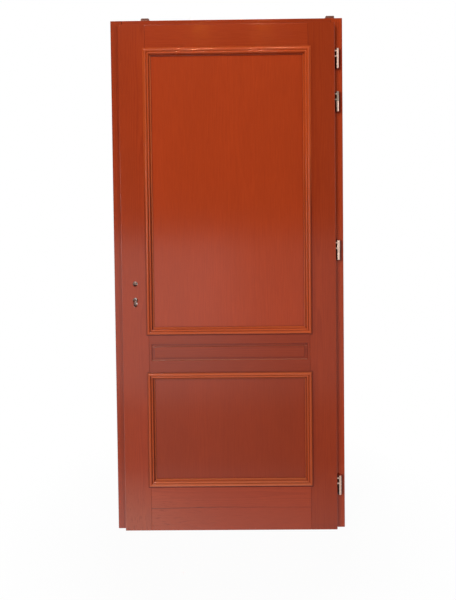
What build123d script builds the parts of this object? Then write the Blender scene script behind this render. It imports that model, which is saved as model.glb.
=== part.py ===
from build123d import *
from math import atan, degrees
import os

# Panelled entrance door in its rebated frame, in millimetres.
# X runs from the lock side to the hinge side, Y from the front to the back, Z up.
# The origin is on the wall face of the hinge jamb, at floor level, at the middle of the frame's depth.

# Frame
frame_width = 985.0
frame_height = 2190.0
frame_depth = 68.0
jamb_width = 48.5
head_height = 37.0
stop_width = 16.0
rebate_depth = 28.0
frame_arris = 2.0

# Leaf, inside the parts of the frame that stay in view round it
side_reveal = 36.5
head_reveal = 25.0
foot_gap = 5.0
leaf_thickness = 68.0
lip_thickness = 20.0
running_gap = 5.0
shoulder_depth = 28.0
leaf_arris = 2.5

# Stiles and rails, each measured to the edge of its panel opening
stile_width = 113.0
top_rail_height = 108.0
mid_rail_bottom = 676.0
mid_rail_height = 180.0
bottom_rail_height = 199.0

# Panels in their grooves
panel_recess = 10.0
groove_width = 14.0
groove_depth = 12.0
tongue_length = 10.0
tenon_length = 11.5
joint_clearance = 0.2
joint_vee = 1.2

# Moulding round each panel
moulding_lap = 11.5
moulding_reach = 22.0
listel_width = 5.0
listel_height = 0.6
bead_width = 11.0
bead_height = 6.8
quirk_width = 2.0
quirk_height = 0.6
roll_width = 7.0
roll_height = 3.2
roll_drop = 2.0
cove_width = 4.5
cove_height = 2.0
foot_height = 3.2
foot_edge_height = 2.4
foot_rise = 1.0

# Routed field on the middle rail
field_margin = 10.5
field_height = 71.0
field_above_middle = 6.0
field_groove = 13.0
field_bevel = 1.5
field_depth = 4.5

# Hinges, each a lower half on the jamb and an upper half on the leaf
bottom_hinge_from_foot = 186.5
middle_hinge_from_foot = 1201.5
upper_hinge_from_top = 328.5
top_hinge_from_top = 146.5
hinge_length = 82.0
hinge_from_lip = 12.5
hinge_from_face = 15.0
knuckle_radius = 7.0
lower_knuckle_radius = 6.7
knuckle_gap = 0.4
hinge_pin_radius = 4.0
hinge_pin_length = 30.0
hinge_pin_clearance = 0.05
hinge_pin_end_gap = 1.0
hinge_arm_radius = 3.2
hinge_arm_spread = 23.0
hinge_arm_from_seam = 8.0
hinge_arm_setback = 11.5
hinge_arm_seat = 52.0
hinge_arm_clearance = 0.1
hinge_arm_end_gap = 0.5

# Mortise lock
spindle_height = 1066.0
spindle_backset = 40.0
spindle_hole_radius = 11.0
cylinder_drop = 70.0
cylinder_radius = 8.5
cylinder_tail_width = 10.0
cylinder_height = 33.0
cylinder_clearance = 0.4
cylinder_hole_radius = 11.5
cylinder_hole_tail_width = 16.0
cylinder_hole_height = 41.0
case_thickness = 15.0
case_top_margin = 42.0
case_bottom_margin = 48.0
case_back_margin = 18.0
case_clearance = 0.5
follower_radius = 9.0
follower_clearance = 0.05
spindle_size = 8.0
faceplate_width = 20.0
faceplate_thickness = 3.0
faceplate_margin = 36.0
faceplate_clearance = 0.2
bolt_thickness = 11.0
bolt_clearance = 0.3
latch_height = 26.0
latch_above_spindle = 4.0
latch_length = 26.0
deadbolt_height = 38.0
deadbolt_length = 32.0
deadbolt_gap = 1.0

# Strike plate on the lock jamb
strike_margin = 30.0
strike_width = 22.0
strike_thickness = 3.0
strike_clearance = 0.2
strike_pocket_margin = 2.0
strike_pocket_depth = 20.0

# Lugs on the head
lug_width = 36.0
lug_depth = 56.0
lug_height = 12.0
lock_lug_from_side = 147.0
hinge_lug_from_side = 51.0
lock_lug_round = 6.0
hinge_lug_round = 2.5

# How near an edge has to be to the place that it is looked for at
close_by = 0.01

# Places worked out from the sizes above
lock_wall_x = -frame_width
frame_front = -frame_depth / 2
frame_back = frame_depth / 2
stop_front = frame_front + rebate_depth
overlap = jamb_width - side_reveal
lock_lip_x = lock_wall_x + side_reveal
hinge_lip_x = -side_reveal
leaf_middle_x = (lock_lip_x + hinge_lip_x) / 2
leaf_front = frame_front - running_gap - lip_thickness
lip_back = leaf_front + lip_thickness
shoulder_y = lip_back + shoulder_depth
leaf_back = leaf_front + leaf_thickness
leaf_middle_y = (leaf_front + leaf_back) / 2
body_inset = overlap + running_gap
tail_inset = body_inset + stop_width
leaf_bottom = foot_gap
leaf_top = frame_height - head_reveal
leaf_height = leaf_top - leaf_bottom
body_top = frame_height - head_height - running_gap
tail_top = body_top - stop_width
lock_opening_x = lock_lip_x + stile_width
hinge_opening_x = hinge_lip_x - stile_width
opening_width = hinge_opening_x - lock_opening_x
lower_opening = (leaf_bottom + bottom_rail_height, leaf_bottom + mid_rail_bottom)
upper_opening = (leaf_bottom + mid_rail_bottom + mid_rail_height, leaf_top - top_rail_height)
field_width = opening_width - 2 * field_margin
field_middle_z = (lower_opening[1] + upper_opening[0]) / 2 + field_above_middle
hinge_x = hinge_lip_x + hinge_from_lip
hinge_y = leaf_front + hinge_from_face
arm_y = leaf_front + hinge_arm_setback
arm_offsets = (hinge_arm_from_seam, hinge_arm_from_seam + hinge_arm_spread)
hinge_seams = {
    "bottom": leaf_bottom + bottom_hinge_from_foot,
    "middle": leaf_bottom + middle_hinge_from_foot,
    "upper": leaf_top - upper_hinge_from_top,
    "top": leaf_top - top_hinge_from_top,
}
lock_y = (lip_back + shoulder_y) / 2
lock_edge_x = lock_lip_x + body_inset
spindle_x = lock_edge_x + spindle_backset
spindle_z = leaf_bottom + spindle_height
cylinder_z = spindle_z - cylinder_drop
case_top = spindle_z + case_top_margin
case_bottom = cylinder_z - case_bottom_margin
case_back_x = spindle_x + case_back_margin
case_front_x = lock_edge_x + faceplate_thickness
plate_top = case_top + faceplate_margin
plate_bottom = case_bottom - faceplate_margin
strike_top = plate_top - strike_margin
strike_bottom = plate_bottom + strike_margin
latch_z = spindle_z + latch_above_spindle
deadbolt_z = cylinder_z + cylinder_radius + cylinder_clearance + deadbolt_gap + deadbolt_height / 2
lock_rebate_x = lock_wall_x + jamb_width
bolts = {
    "latch_bolt": (latch_z, latch_height, latch_length),
    "dead_bolt": (deadbolt_z, deadbolt_height, deadbolt_length),
}

os.makedirs("parts", exist_ok=True)


def save(piece, label):
    piece.part.label = label
    export_step(piece.part, f"parts/{label}.step")


def block(low, high, mode=Mode.ADD):
    middle = [(a + b) / 2 for a, b in zip(low, high)]
    size = [b - a for a, b in zip(low, high)]
    with Locations(tuple(middle)):
        Box(*size, mode=mode)


def facing_front(x, y, z):
    return Plane(origin=(x, y, z), x_dir=(1, 0, 0), z_dir=(0, -1, 0))


# Pockets that the bolts go into, in the jamb and through its plate
def cut_strike_pockets(depth):
    pocket_half = bolt_thickness / 2 + strike_pocket_margin
    for middle, height, length in bolts.values():
        pocket_rise = height / 2 + strike_pocket_margin
        block(
            (lock_rebate_x - depth, lock_y - pocket_half, middle - pocket_rise),
            (lock_rebate_x, lock_y + pocket_half, middle + pocket_rise),
            Mode.SUBTRACT,
        )


# Frame jambs: an outer face to the wall, a rebate for the leaf and a stop behind it
def jamb_profile(wall_x, inward):
    rebate_x = wall_x + inward * jamb_width
    stop_x = rebate_x + inward * stop_width
    return (
        (wall_x, frame_front),
        (rebate_x, frame_front),
        (rebate_x, stop_front),
        (stop_x, stop_front),
        (stop_x, frame_back),
        (wall_x, frame_back),
    )


def frame_arrises(part):
    upright = part.edges().filter_by(Axis.Z)
    return [edge for edge in upright if abs(abs(edge.center().Y) - frame_depth / 2) < close_by]


with BuildPart() as hinge_jamb:
    with BuildSketch():
        with BuildLine():
            Polyline(*jamb_profile(0.0, -1), close=True)
        make_face()
    extrude(amount=frame_height)
    chamfer(frame_arrises(hinge_jamb), frame_arris)
    for seam_z in hinge_seams.values():
        for offset in arm_offsets:
            with BuildSketch(Plane(origin=(hinge_x, frame_front, seam_z - offset), z_dir=(0, 1, 0))):
                Circle(hinge_arm_radius + hinge_arm_clearance)
            extrude(amount=hinge_arm_seat + hinge_arm_end_gap, mode=Mode.SUBTRACT)
save(hinge_jamb, "hinge_jamb")

with BuildPart() as lock_jamb:
    with BuildSketch():
        with BuildLine():
            Polyline(*jamb_profile(lock_wall_x, 1), close=True)
        make_face()
    extrude(amount=frame_height)
    chamfer(frame_arrises(lock_jamb), frame_arris)
    strike_half = strike_width / 2 + strike_clearance
    block(
        (lock_rebate_x - strike_thickness, lock_y - strike_half, strike_bottom - strike_clearance),
        (lock_rebate_x, lock_y + strike_half, strike_top + strike_clearance),
        Mode.SUBTRACT,
    )
    cut_strike_pockets(strike_pocket_depth)
save(lock_jamb, "lock_jamb")

# Head: it sits between the jambs, coped over their stops
with BuildPart() as frame_head:
    jamb_stop_width = jamb_width + stop_width
    block(
        (lock_rebate_x, frame_front, frame_height - head_height),
        (-jamb_width, stop_front, frame_height),
    )
    block(
        (lock_wall_x + jamb_stop_width, stop_front, frame_height - head_height - stop_width),
        (-jamb_stop_width, frame_back, frame_height),
    )
    face_edges = [
        edge
        for edge in frame_head.edges().filter_by(Axis.X)
        if abs(edge.center().Y - frame_front) < close_by and edge.center().Z < frame_height - close_by
    ]
    chamfer(face_edges, frame_arris)
save(frame_head, "frame_head")

# Two lugs on top of the head
lugs = {
    "lock_side_lug": (lock_wall_x + lock_lug_from_side, lock_lug_round),
    "hinge_side_lug": (-hinge_lug_from_side, hinge_lug_round),
}
for label, (lug_x, lug_round) in lugs.items():
    with BuildPart() as lug:
        with BuildSketch(Plane.XY.offset(frame_height)):
            with Locations((lug_x, 0)):
                Rectangle(lug_width, lug_depth)
        extrude(amount=lug_height)
        fillet(lug.edges().filter_by(Axis.Y).group_by(Axis.Z)[-1], lug_round)
    save(lug, label)

# Strike plate, flush with the jamb's rebate
with BuildPart() as strike_plate:
    block(
        (lock_rebate_x - strike_thickness, lock_y - strike_width / 2, strike_bottom),
        (lock_rebate_x, lock_y + strike_width / 2, strike_top),
    )
    cut_strike_pockets(strike_thickness)
save(strike_plate, "strike_plate")


# Hinge halves: the lower half carries the pin and the upper half turns on it
def lower_half(seam_z):
    with BuildPart() as half:
        with BuildSketch(Plane.XY.offset(seam_z - hinge_length / 2)):
            with Locations((hinge_x, hinge_y)):
                Circle(lower_knuckle_radius)
        extrude(amount=hinge_length / 2 - knuckle_gap / 2)
        with BuildSketch(Plane.XY.offset(seam_z - knuckle_gap)):
            with Locations((hinge_x, hinge_y)):
                Circle(hinge_pin_radius)
        extrude(amount=knuckle_gap + hinge_pin_length)
        for offset in arm_offsets:
            with BuildSketch(Plane(origin=(hinge_x, hinge_y, seam_z - offset), z_dir=(0, 1, 0))):
                Circle(hinge_arm_radius)
            extrude(amount=frame_front - hinge_y + hinge_arm_seat)
    return half


def upper_half(seam_z):
    with BuildPart() as half:
        with BuildSketch(Plane.XY.offset(seam_z + knuckle_gap / 2)):
            with Locations((hinge_x, hinge_y)):
                Circle(knuckle_radius)
        extrude(amount=hinge_length / 2 - knuckle_gap / 2)
        for offset in arm_offsets:
            with BuildSketch(Plane(origin=(hinge_x, arm_y, seam_z + offset), z_dir=(-1, 0, 0))):
                Circle(hinge_arm_radius)
            extrude(amount=hinge_from_lip + hinge_arm_seat)
        with BuildSketch(Plane.XY.offset(seam_z)):
            with Locations((hinge_x, hinge_y)):
                Circle(hinge_pin_radius + hinge_pin_clearance)
        extrude(amount=hinge_pin_length + hinge_pin_end_gap, mode=Mode.SUBTRACT)
    return half


for hinge_name, seam_z in hinge_seams.items():
    save(lower_half(seam_z), f"{hinge_name}_hinge_jamb_half")
    save(upper_half(seam_z), f"{hinge_name}_hinge_leaf_half")


# Leaf members: a front lip that covers the frame, a shoulder and a tail that closes on the stop
def stile_profile(lip_x, inward):
    body_x = lip_x + inward * body_inset
    tail_x = lip_x + inward * tail_inset
    opening_x = lip_x + inward * stile_width
    groove_x = opening_x - inward * groove_depth
    groove_low = leaf_middle_y - groove_width / 2
    groove_high = leaf_middle_y + groove_width / 2
    return (
        (lip_x, leaf_front),
        (opening_x, leaf_front),
        (opening_x, groove_low),
        (groove_x, groove_low),
        (groove_x, groove_high),
        (opening_x, groove_high),
        (opening_x, leaf_back),
        (tail_x, leaf_back),
        (tail_x, shoulder_y),
        (body_x, shoulder_y),
        (body_x, lip_back),
        (lip_x, lip_back),
    )


def cut_top_steps():
    block((lock_lip_x, lip_back, body_top), (hinge_lip_x, shoulder_y, leaf_top), Mode.SUBTRACT)
    block((lock_lip_x, shoulder_y, tail_top), (hinge_lip_x, leaf_back, leaf_top), Mode.SUBTRACT)


def soften_lip(part, lip_x):
    edges = [
        edge
        for edge in part.edges().filter_by(Axis.Z)
        if abs(edge.center().X - lip_x) < close_by and abs(edge.center().Y - leaf_front) < close_by
    ]
    fillet(edges, leaf_arris)


def soften_joint(part, opening_x):
    edges = [
        edge
        for edge in part.edges().filter_by(Axis.Z)
        if abs(edge.center().X - opening_x) < close_by
        and min(abs(edge.center().Y - leaf_front), abs(edge.center().Y - leaf_back)) < close_by
    ]
    chamfer(edges, joint_vee)


with BuildPart() as hinge_stile:
    with BuildSketch(Plane.XY.offset(leaf_bottom)):
        with BuildLine():
            Polyline(*stile_profile(hinge_lip_x, -1), close=True)
        make_face()
    extrude(amount=leaf_height)
    soften_lip(hinge_stile, hinge_lip_x)
    soften_joint(hinge_stile, hinge_opening_x)
    cut_top_steps()
    for seam_z in hinge_seams.values():
        for offset in arm_offsets:
            with BuildSketch(Plane(origin=(hinge_lip_x, arm_y, seam_z + offset), z_dir=(-1, 0, 0))):
                Circle(hinge_arm_radius + hinge_arm_clearance)
            extrude(amount=hinge_arm_seat + hinge_arm_end_gap, mode=Mode.SUBTRACT)
save(hinge_stile, "hinge_stile")


# Cylinder outline: a round head with a narrower tail below it
def cylinder_outline(head_radius, tail_width, height):
    tail_drop = height - head_radius - tail_width / 2
    with Locations((0, 0)):
        Circle(head_radius)
    with Locations((0, -tail_drop / 2)):
        Rectangle(tail_width, tail_drop)
    with Locations((0, -tail_drop)):
        Circle(tail_width / 2)


with BuildPart() as lock_stile:
    with BuildSketch(Plane.XY.offset(leaf_bottom)):
        with BuildLine():
            Polyline(*stile_profile(lock_lip_x, 1), close=True)
        make_face()
    extrude(amount=leaf_height)
    soften_lip(lock_stile, lock_lip_x)
    soften_joint(lock_stile, lock_opening_x)
    cut_top_steps()
    mortise_half = case_thickness / 2 + case_clearance
    block(
        (lock_edge_x, lock_y - mortise_half, case_bottom - case_clearance),
        (case_back_x + case_clearance, lock_y + mortise_half, case_top + case_clearance),
        Mode.SUBTRACT,
    )
    plate_half = faceplate_width / 2 + faceplate_clearance
    block(
        (lock_edge_x, lock_y - plate_half, plate_bottom - faceplate_clearance),
        (lock_edge_x + faceplate_thickness, lock_y + plate_half, plate_top + faceplate_clearance),
        Mode.SUBTRACT,
    )
    with BuildSketch(facing_front(spindle_x, leaf_back, spindle_z)):
        Circle(spindle_hole_radius)
    extrude(amount=leaf_thickness, mode=Mode.SUBTRACT)
    with BuildSketch(facing_front(spindle_x, leaf_back, cylinder_z)):
        cylinder_outline(cylinder_hole_radius, cylinder_hole_tail_width, cylinder_hole_height)
    extrude(amount=leaf_thickness, mode=Mode.SUBTRACT)
save(lock_stile, "lock_stile")


# Rails: shouldered between the stiles, with a stub tenon at each end and grooves for the panels
def rail(bottom, top, back_top):
    tenon_half = groove_width / 2 - joint_clearance
    block((lock_opening_x, leaf_front, bottom), (hinge_opening_x, leaf_back, top))
    block(
        (lock_opening_x - tenon_length, leaf_middle_y - tenon_half, bottom + groove_depth),
        (hinge_opening_x + tenon_length, leaf_middle_y + tenon_half, back_top - groove_depth),
    )


def rail_groove(edge_z, upward):
    low, high = sorted((edge_z, edge_z + upward * groove_depth))
    block(
        (lock_opening_x, leaf_middle_y - groove_width / 2, low),
        (hinge_opening_x, leaf_middle_y + groove_width / 2, high),
        Mode.SUBTRACT,
    )


with BuildPart() as bottom_rail:
    rail(leaf_bottom, lower_opening[0], lower_opening[0])
    rail_groove(lower_opening[0], -1)
save(bottom_rail, "bottom_rail")

with BuildPart() as middle_rail:
    rail(lower_opening[1], upper_opening[0], upper_opening[0])
    rail_groove(lower_opening[1], 1)
    rail_groove(upper_opening[0], -1)
    field_slope = degrees(atan(field_bevel / field_depth))
    island_inset = 2 * (field_groove - field_bevel)
    for face_y, outward in ((leaf_front, -1), (leaf_back, 1)):
        field_plane = Plane(
            origin=(leaf_middle_x, face_y, field_middle_z),
            x_dir=(-outward, 0, 0),
            z_dir=(0, outward, 0),
        )
        with BuildSketch(field_plane):
            Rectangle(field_width, field_height)
        extrude(amount=-field_depth, taper=field_slope, mode=Mode.SUBTRACT)
        with BuildSketch(field_plane.offset(-field_depth)):
            Rectangle(field_width - island_inset, field_height - island_inset)
        extrude(amount=field_depth, taper=field_slope)
save(middle_rail, "middle_rail")

with BuildPart() as top_rail:
    rail(upper_opening[1], leaf_top, tail_top)
    rail_groove(upper_opening[1], 1)
    cut_top_steps()
    top_front = [
        edge
        for edge in top_rail.edges().filter_by(Axis.X)
        if abs(edge.center().Y - leaf_front) < close_by and abs(edge.center().Z - leaf_top) < close_by
    ]
    fillet(top_front, leaf_arris)
save(top_rail, "top_rail")


# Panels: a thick field with a tongue all round that sits in the grooves
def panel(opening):
    bottom, top = opening
    tongue_half = groove_width / 2 - joint_clearance
    with BuildPart() as field:
        block(
            (lock_opening_x + joint_clearance, leaf_front + panel_recess, bottom + joint_clearance),
            (hinge_opening_x - joint_clearance, leaf_back - panel_recess, top - joint_clearance),
        )
        block(
            (lock_opening_x - tongue_length, leaf_middle_y - tongue_half, bottom - tongue_length),
            (hinge_opening_x + tongue_length, leaf_middle_y + tongue_half, top + tongue_length),
        )
    return field


save(panel(lower_opening), "lower_panel")
save(panel(upper_opening), "upper_panel")


# Mouldings: a lipped section that laps the stiles and rails and rests on the panel
def moulding(edge_middle, into, out, opening_length):
    run = into.cross(out)
    half = opening_length / 2
    bead_start = listel_width - moulding_lap
    bead_end = bead_start + bead_width
    roll_start = bead_end + quirk_width
    roll_end = roll_start + roll_width
    foot_start = roll_end + cove_width
    with BuildPart() as length:
        with BuildSketch(Plane(origin=edge_middle, x_dir=into, z_dir=run)):
            with BuildLine():
                Polyline((-moulding_lap, 0), (-moulding_lap, listel_height), (bead_start, listel_height))
                ThreePointArc(
                    (bead_start, listel_height),
                    (bead_start + bead_width / 2, bead_height),
                    (bead_end, quirk_height),
                )
                Line((bead_end, quirk_height), (roll_start, quirk_height))
                ThreePointArc(
                    (roll_start, quirk_height),
                    (roll_start + roll_width / 2, roll_height),
                    (roll_end, quirk_height - roll_drop),
                )
                Polyline(
                    (roll_end, quirk_height - roll_drop),
                    (roll_end, cove_height - panel_recess),
                    (foot_start, cove_height - panel_recess),
                    (foot_start + foot_rise, foot_height - panel_recess),
                    (moulding_reach, foot_edge_height - panel_recess),
                    (moulding_reach, -panel_recess),
                    (joint_clearance, -panel_recess),
                    (joint_clearance, 0),
                    (-moulding_lap, 0),
                )
            make_face()
        extrude(amount=half + moulding_lap, both=True)
        with BuildSketch(Plane(origin=edge_middle, x_dir=run, z_dir=out).offset(-panel_recess)):
            with BuildLine():
                Polyline(
                    (-half - moulding_lap, -moulding_lap),
                    (half + moulding_lap, -moulding_lap),
                    (half - moulding_reach, moulding_reach),
                    (-half + moulding_reach, moulding_reach),
                    close=True,
                )
            make_face()
        extrude(amount=panel_recess + bead_height, mode=Mode.INTERSECT)
    return length


for panel_name, (bottom, top) in (("lower", lower_opening), ("upper", upper_opening)):
    middle_z = (bottom + top) / 2
    for face_name, face_y, out in (
        ("front", leaf_front, Vector(0, -1, 0)),
        ("back", leaf_back, Vector(0, 1, 0)),
    ):
        sides = {
            "top": ((leaf_middle_x, face_y, top), Vector(0, 0, -1), opening_width),
            "bottom": ((leaf_middle_x, face_y, bottom), Vector(0, 0, 1), opening_width),
            "lock_side": ((lock_opening_x, face_y, middle_z), Vector(1, 0, 0), top - bottom),
            "hinge_side": ((hinge_opening_x, face_y, middle_z), Vector(-1, 0, 0), top - bottom),
        }
        for side_name, (edge_middle, into, opening_length) in sides.items():
            save(
                moulding(edge_middle, into, out, opening_length),
                f"{panel_name}_{face_name}_{side_name}_moulding",
            )

# Mortise lock: a thin case behind a long faceplate, with its bolts drawn back flush
def cut_bolt_way(start_x, end_x, middle, height):
    half = bolt_thickness / 2 + bolt_clearance
    rise = height / 2 + bolt_clearance
    block((start_x, lock_y - half, middle - rise), (end_x, lock_y + half, middle + rise), Mode.SUBTRACT)


with BuildPart() as lock_case:
    block(
        (case_front_x, lock_y - case_thickness / 2, case_bottom),
        (case_back_x, lock_y + case_thickness / 2, case_top),
    )
    for middle, height, length in bolts.values():
        cut_bolt_way(case_front_x, lock_edge_x + length + bolt_clearance, middle, height)
    case_back_y = lock_y + case_thickness / 2
    with BuildSketch(facing_front(spindle_x, case_back_y, spindle_z)):
        Circle(follower_radius + follower_clearance)
    extrude(amount=case_thickness, mode=Mode.SUBTRACT)
    with BuildSketch(facing_front(spindle_x, case_back_y, cylinder_z)):
        cylinder_outline(
            cylinder_radius + cylinder_clearance,
            cylinder_tail_width + 2 * cylinder_clearance,
            cylinder_height + 2 * cylinder_clearance,
        )
    extrude(amount=case_thickness, mode=Mode.SUBTRACT)
save(lock_case, "lock_case")

with BuildPart() as faceplate:
    block(
        (lock_edge_x, lock_y - faceplate_width / 2, plate_bottom),
        (case_front_x, lock_y + faceplate_width / 2, plate_top),
    )
    for middle, height, length in bolts.values():
        cut_bolt_way(lock_edge_x, case_front_x, middle, height)
save(faceplate, "faceplate")

for label, (middle, height, length) in bolts.items():
    with BuildPart() as bolt:
        block(
            (lock_edge_x, lock_y - bolt_thickness / 2, middle - height / 2),
            (lock_edge_x + length, lock_y + bolt_thickness / 2, middle + height / 2),
        )
    save(bolt, label)

with BuildPart() as follower:
    with BuildSketch(facing_front(spindle_x, case_back_y, spindle_z)):
        Circle(follower_radius)
        Rectangle(spindle_size, spindle_size, mode=Mode.SUBTRACT)
    extrude(amount=case_thickness)
save(follower, "follower")
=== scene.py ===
import bpy
import bmesh
import math
from mathutils import Matrix, Vector


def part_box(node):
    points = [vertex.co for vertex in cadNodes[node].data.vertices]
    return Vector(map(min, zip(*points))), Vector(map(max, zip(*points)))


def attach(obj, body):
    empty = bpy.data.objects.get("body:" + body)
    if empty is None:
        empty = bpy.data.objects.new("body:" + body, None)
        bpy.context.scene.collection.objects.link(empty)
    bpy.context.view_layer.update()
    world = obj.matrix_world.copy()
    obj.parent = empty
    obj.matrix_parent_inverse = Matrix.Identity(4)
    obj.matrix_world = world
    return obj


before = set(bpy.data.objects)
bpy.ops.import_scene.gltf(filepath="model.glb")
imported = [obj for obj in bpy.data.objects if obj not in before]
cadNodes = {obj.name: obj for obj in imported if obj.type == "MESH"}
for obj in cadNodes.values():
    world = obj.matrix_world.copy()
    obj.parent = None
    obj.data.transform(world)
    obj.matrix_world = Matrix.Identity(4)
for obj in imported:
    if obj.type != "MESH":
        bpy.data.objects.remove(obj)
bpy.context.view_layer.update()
scene = bpy.context.scene
print("Door loaded:", len(cadNodes), "pieces")


# Node helpers, shared by every material. A pair of values is where a change starts and where it ends.

rising = (0.0, 1.0)
falling = (1.0, 0.0)
noiseRange = (0.3, 0.7)  # where nearly all of a noise lies
bevelSamples = 4
cornerSamples = 8


def newMaterial(name):
    material = bpy.data.materials.new(name)
    material.use_nodes = True
    tree = material.node_tree
    tree.nodes.clear()
    output = tree.nodes.new("ShaderNodeOutputMaterial")
    shader = tree.nodes.new("ShaderNodeBsdfPrincipled")
    tree.links.new(shader.outputs["BSDF"], output.inputs["Surface"])
    return material, tree, shader


def showInstead(tree, surface):
    output = next(node for node in tree.nodes if node.type == "OUTPUT_MATERIAL")
    tree.links.new(surface, output.inputs["Surface"])


def place(tree, kind, sockets=None, **settings):
    node = tree.nodes.new(kind)
    for setting, value in settings.items():
        setattr(node, setting, value)
    for socket, value in (sockets or {}).items():
        if isinstance(value, bpy.types.NodeSocket):
            tree.links.new(value, node.inputs[socket])
        else:
            node.inputs[socket].default_value = value
    return node


def mathOf(tree, operation, first, second=0.0, third=0.0):
    sockets = {0: first, 1: second, 2: third}
    return place(tree, "ShaderNodeMath", sockets, operation=operation).outputs[0]


def vectorMathOf(tree, operation, *vectors, result="Vector"):
    return place(tree, "ShaderNodeVectorMath", dict(enumerate(vectors)), operation=operation).outputs[result]


def product(tree, first, *others):
    for other in others:
        first = mathOf(tree, "MULTIPLY", first, other)
    return first


def awayFrom(tree, value, middle):
    return mathOf(tree, "ABSOLUTE", mathOf(tree, "SUBTRACT", value, middle))


def remap(tree, value, between, to):
    sockets = {
        "Value": value, "From Min": between[0], "From Max": between[1], "To Min": to[0], "To Max": to[1],
    }
    return place(tree, "ShaderNodeMapRange", sockets).outputs["Result"]


def around(middle, soft):
    return middle - soft, middle + soft


def blendColour(tree, factor, first, second, mode="MIX"):
    node = place(tree, "ShaderNodeMix", {"Factor": factor}, data_type="RGBA", blend_type=mode)
    for socket, value in ((node.inputs[6], first), (node.inputs[7], second)):
        if isinstance(value, bpy.types.NodeSocket):
            tree.links.new(value, socket)
        else:
            socket.default_value = (*value, 1.0)
    return node.outputs[2]


def blendShader(tree, factor, first, second):
    return place(tree, "ShaderNodeMixShader", {0: factor, 1: first, 2: second}).outputs["Shader"]


def greyOf(tree, tone):
    return place(tree, "ShaderNodeCombineColor", {"Red": tone, "Green": tone, "Blue": tone}).outputs["Color"]


def ownCoords(tree):
    return place(tree, "ShaderNodeTexCoord").outputs["Object"]


def axesOf(tree, vector):
    return place(tree, "ShaderNodeSeparateXYZ", {"Vector": vector}).outputs


def stretchedBy(tree, vector, scale):
    return place(tree, "ShaderNodeMapping", {"Vector": vector, "Scale": scale}).outputs["Vector"]


def noiseOf(tree, vector, scale, detail=2.0, rough=0.5):
    sockets = {"Vector": vector, "Scale": scale, "Detail": detail, "Roughness": rough}
    return place(tree, "ShaderNodeTexNoise", sockets).outputs["Fac"]


def softEdges(tree, radius):
    return place(tree, "ShaderNodeBevel", {"Radius": radius}, samples=bevelSamples).outputs["Normal"]


def bumpOf(tree, height, strength, depth, normal=None):
    sockets = {"Height": height, "Strength": strength, "Distance": depth}
    if normal is not None:
        sockets["Normal"] = normal
    return place(tree, "ShaderNodeBump", sockets).outputs["Normal"]


def dress(nodeName, material):
    for slot in cadNodes[nodeName].material_slots:
        slot.material = material


# Stained and varnished wood. Each member has its own grain direction and its own place in the log.

stain = {
    "light": (0.440, 0.050, 0.0085),
    "dark": (0.270, 0.022, 0.0040),
    "mouldingLight": (0.560, 0.085, 0.0150),
    "mouldingDark": (0.400, 0.042, 0.0070),
    # dark of real joints and cracks, and of painted shade and painted shadow
    "darkJointAndShade": (0.130, 0.008, 0.0012),
    # light of real wear on edges, and of painted highlights
    "wornAndLitEdge": (0.560, 0.120, 0.0300),
    # pale pink mixed into mouldings as a painted reflection of the floor
    "paintedReflection": (0.620, 0.180, 0.0800),
    # pale pink of the paler foot, and of painted highlights in grooves
    "paled": (0.480, 0.150, 0.0800),
}
growth = {
    "ringScale": 84.0,  # about 3.7 mm from ring to ring
    "ringStretch": 0.06,
    "ringDistortion": 1.1,
    "ringDetail": 2.0,
    "ringDetailScale": 0.6,
    "wander": 0.016,
    "wanderStretch": 0.22,
    "wanderScale": 7.0,
    "wanderDetail": 2.0,
    "paleUntil": 0.35,  # how far through a ring, and where it is darkest
    "darkest": 0.93,
    "ringEnd": 0.05,  # how dark it is where the next ring begins
    "cloudsOnRings": (0.35, 0.65),
    "faintRings": 0.4,
    "fibreRange": (0.35, 0.75),
    "fibreShare": 0.45,
    "tone": (0.93, 1.06),
}
grainNoises = {
    "fibre": {"along": 0.018, "scale": 850.0, "detail": 3.0, "rough": 0.60},
    "fleck": {"along": 0.150, "scale": 150.0, "detail": 2.0, "rough": 0.55},
    "cloud": {"along": 0.350, "scale": 5.0, "detail": 3.0, "rough": 0.50},
    "crack": {"along": 0.060, "scale": 420.0, "detail": 2.0, "rough": 0.50},
}
varnish = {
    "roughness": (0.31, 0.43),
    "coatWeight": 0.80,
    "mouldingCoatWeight": 0.50,
    "coatRoughness": 0.15,
    "specular": 0.05,
    "bump": 0.35,
    "coatBump": 0.22,
    "bumpDepth": 0.00035,
    "ringRelief": 0.25,
    "fibreRelief": 0.50,
    "fleckRelief": 0.60,
    "edgeRadius": 0.0007,
}
arrisWearAndGlint = {"facing": (0.97, 0.80), "share": 0.5, "fleckRange": (0.40, 0.65), "patchy": (0.1, 1.0)}
grainTurn = {  # turns the length of the member onto the texture's own Z
    "X": (0.0, -math.pi / 2, 0.0),
    "Z": (0.0, 0.0, 0.0),
}


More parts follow.
